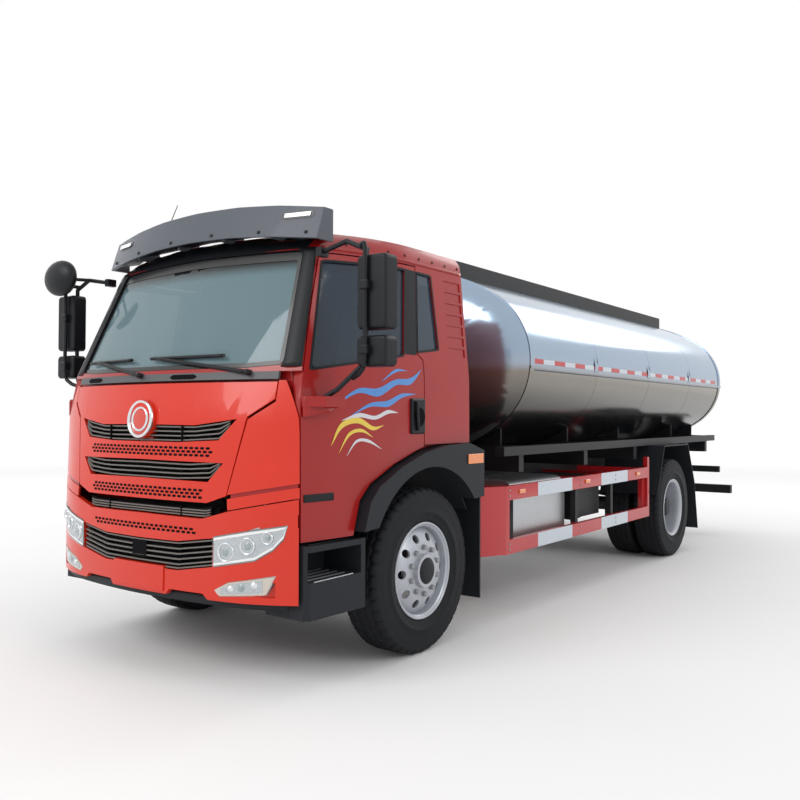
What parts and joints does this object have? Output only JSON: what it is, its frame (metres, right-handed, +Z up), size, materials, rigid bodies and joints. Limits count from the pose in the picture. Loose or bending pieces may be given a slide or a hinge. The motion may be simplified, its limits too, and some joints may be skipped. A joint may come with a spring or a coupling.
{
  "type": "milk tanker truck",
  "caption": "Cab-over rigid truck with a polished oval milk tank, tilting cab, opening doors, front service flap, steered front wheels, twin rear wheels and manway lids.",
  "frame": {"origin": "on the ground, in the middle of the truck's length and width", "axes": "+X forwards, +Y to the left, +Z up"},
  "size_m": [8.4395, 3, 2.88],
  "materials": {
    "cab_paint": "gloss",
    "door_paint": "gloss",
    "glass": "clear",
    "dark_plastic": "satin",
    "grille_metal": "satin",
    "lamp_clear": "clear",
    "lamp_red": "clear",
    "interior": "matt",
    "seat_cloth": "woven",
    "tyre_rubber": "matt",
    "wheel_silver": "silver",
    "axle_iron": "painted",
    "chassis_black": "satin",
    "tank_steel": "polished",
    "alloy": "satin",
    "guard_paint": "gloss"
  },
  "bodies": {
    "chassis": {"chassis_frame": "chassis_black", "engine_block": "axle_iron", "radiator": "axle_iron", "driveline": "axle_iron", "front_axle_beam": "axle_iron", "rear_axle": "axle_iron", "leaf_springs": "axle_iron", "tank_shell": "tank_steel", "tank_cradle": "chassis_black", "walkway": "chassis_black", "step_boxes": "dark_plastic", "fuel_tank": "alloy", "side_boxes": "chassis_black", "side_guards": "guard_paint", "mudguards": "dark_plastic", "rear_bars": "chassis_black", "rear_lamps": "lamp_red", "rear_ladder": "tank_steel", "discharge_pipe": "tank_steel", "front_bumper": "cab_paint", "bumper_grilles": "grille_metal", "front_lamps": "lamp_clear"},
    "cab": {"cab_shell": "door_paint", "cab_glass": "glass", "cowl": "dark_plastic", "corner_panels": "cab_paint", "sun_visor": "dark_plastic", "arch_trims": "dark_plastic", "seats": "seat_cloth", "dashboard": "interior"},
    "flap": {"front_flap": "cab_paint", "flap_grilles": "grille_metal"},
    "door_left_body": {"door_left": "door_paint", "door_glass_left": "glass", "mirror_left": "dark_plastic"},
    "door_right_body": {"door_right": "door_paint", "door_glass_right": "glass", "mirror_right": "dark_plastic"},
    "knuckle_left_body": {"knuckle_left": "axle_iron"},
    "knuckle_right_body": {"knuckle_right": "axle_iron"},
    "front_wheel_left": {"tyre_front_left": "tyre_rubber", "rim_front_left": "wheel_silver"},
    "front_wheel_right": {"tyre_front_right": "tyre_rubber", "rim_front_right": "wheel_silver"},
    "rear_wheels_left": {"tyres_rear_left": "tyre_rubber", "rims_rear_left": "wheel_silver"},
    "rear_wheels_right": {"tyres_rear_right": "tyre_rubber", "rims_rear_right": "wheel_silver"},
    "lid_front": {"manway_lid_front": "tank_steel"},
    "lid_rear": {"manway_lid_rear": "tank_steel"}
  },
  "joints": [
    {"name": "cab_tilt", "type": "hinge", "parent": "chassis", "child": "cab", "pos_m": [4.14, 0, 1.01], "axis": [0, 1, 0], "range_deg": [0, 45]},
    {"name": "flap_hinge", "type": "hinge", "parent": "cab", "child": "flap", "pos_m": [4.085, 0, 1.74], "axis": [0, -1, 0], "range_deg": [0, 75]},
    {"name": "door_left_hinge", "type": "hinge", "parent": "cab", "child": "door_left_body", "pos_m": [3.962, 1.062, 1.5], "axis": [0, 0, -1], "range_deg": [0, 70]},
    {"name": "door_right_hinge", "type": "hinge", "parent": "cab", "child": "door_right_body", "pos_m": [3.962, -1.062, 1.5], "axis": [0, 0, 1], "range_deg": [0, 70]},
    {"name": "steer_left", "type": "hinge", "parent": "chassis", "child": "knuckle_left_body", "pos_m": [2.89, 0.84, 0.52], "axis": [0, 0, 1], "range_deg": [-38, 38]},
    {"name": "steer_right", "type": "hinge", "parent": "chassis", "child": "knuckle_right_body", "pos_m": [2.89, -0.84, 0.52], "axis": [0, 0, 1], "range_deg": [-38, 38]},
    {"name": "front_wheel_left_spin", "type": "hinge", "parent": "knuckle_left_body", "child": "front_wheel_left", "pos_m": [2.89, 1.01, 0.52], "axis": [0, 1, 0], "continuous": true},
    {"name": "front_wheel_right_spin", "type": "hinge", "parent": "knuckle_right_body", "child": "front_wheel_right", "pos_m": [2.89, -1.01, 0.52], "axis": [0, 1, 0], "continuous": true},
    {"name": "rear_wheels_left_spin", "type": "hinge", "parent": "chassis", "child": "rear_wheels_left", "pos_m": [-1.81, 0.917, 0.52], "axis": [0, 1, 0], "continuous": true},
    {"name": "rear_wheels_right_spin", "type": "hinge", "parent": "chassis", "child": "rear_wheels_right", "pos_m": [-1.81, -0.917, 0.52], "axis": [0, 1, 0], "continuous": true},
    {"name": "lid_front_hinge", "type": "hinge", "parent": "chassis", "child": "lid_front", "pos_m": [-0.112, 0, 2.846], "axis": [0, -1, 0], "range_deg": [0, 110]},
    {"name": "lid_rear_hinge", "type": "hinge", "parent": "chassis", "child": "lid_rear", "pos_m": [-2.512, 0, 2.846], "axis": [0, -1, 0], "range_deg": [0, 110]}
  ],
  "couplings": [
    {"joint": "steer_right", "follows": "steer_left", "ratio": 1}
  ]
}
